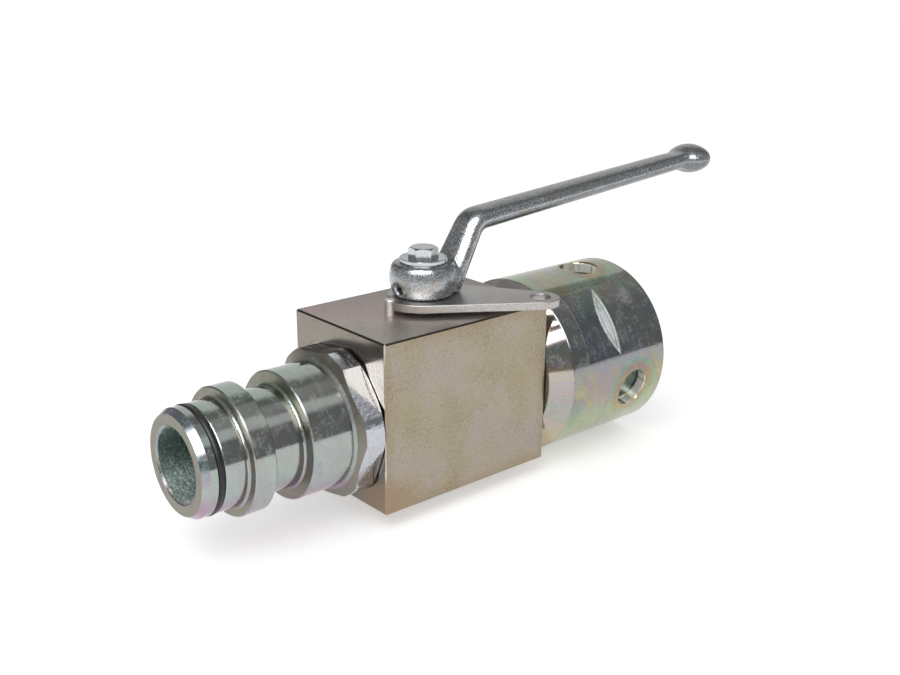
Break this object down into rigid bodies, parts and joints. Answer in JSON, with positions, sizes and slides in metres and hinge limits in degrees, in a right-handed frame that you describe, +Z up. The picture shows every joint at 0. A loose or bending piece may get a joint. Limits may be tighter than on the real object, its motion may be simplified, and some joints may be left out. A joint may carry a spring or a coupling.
{
  "type": "lockable ball valve",
  "caption": "Block-body quarter-turn ball valve with a plug end, a captive union nut and a cranked hand lever whose drop-shaped stop plate takes a padlock.",
  "frame": {"origin": "centre of the block's base face, right under the spindle axis; the flow axis is 40 mm above it", "axes": "+X along the flow from the plug end to the union nut end, which is also where the lever points when the valve is open; +Z up along the spindle; +Y completes the frame"},
  "size_m": [0.3608, 0.099, 0.1556],
  "materials": {
    "plated_block": "zinc plated, warm grey, satin",
    "plated_turned": "zinc plated, turned, bluish sheen",
    "plated_nut": "zinc plated, passivated with a green and pink sheen",
    "lever_casting": "plated casting, bright with small pits",
    "plated_plate": "zinc plated sheet, matte grey",
    "steel_pin": "bright steel",
    "steel_fastener": "zinc plated steel",
    "steel_spindle": "ground steel",
    "black_screw": "black oxide steel",
    "ball_chrome": "hard chrome, polished",
    "seat_plastic": "white acetal",
    "seal_rubber": "black nitrile rubber"
  },
  "bodies": {
    "housing": {"valve_block": "plated_block", "stop_pin": "steel_pin", "plug_adapter": "plated_turned", "plug_seal": "seal_rubber", "plug_port_seal": "seal_rubber", "tail_adapter": "plated_turned", "tail_port_seal": "seal_rubber", "seat_left": "seat_plastic", "seat_right": "seat_plastic", "seat_seals": "seal_rubber"},
    "closing_gear": {"lever": "lever_casting", "lever_washer": "steel_fastener", "lever_screw": "steel_fastener", "grub_screw": "black_screw", "stop_plate": "plated_plate", "spindle": "steel_spindle", "spindle_seals": "seal_rubber", "thrust_washer": "seat_plastic", "ball": "ball_chrome"},
    "nut": {"union_nut": "plated_nut"}
  },
  "joints": [
    {"name": "lever_turn", "type": "hinge", "parent": "housing", "child": "closing_gear", "pos_m": [0, 0, 0.07], "axis": [0, 0, 1], "range_deg": [0, 90]},
    {"name": "nut_turn", "type": "hinge", "parent": "housing", "child": "nut", "pos_m": [0.0991, 0, 0.04], "axis": [1, 0, 0], "continuous": true}
  ]
}
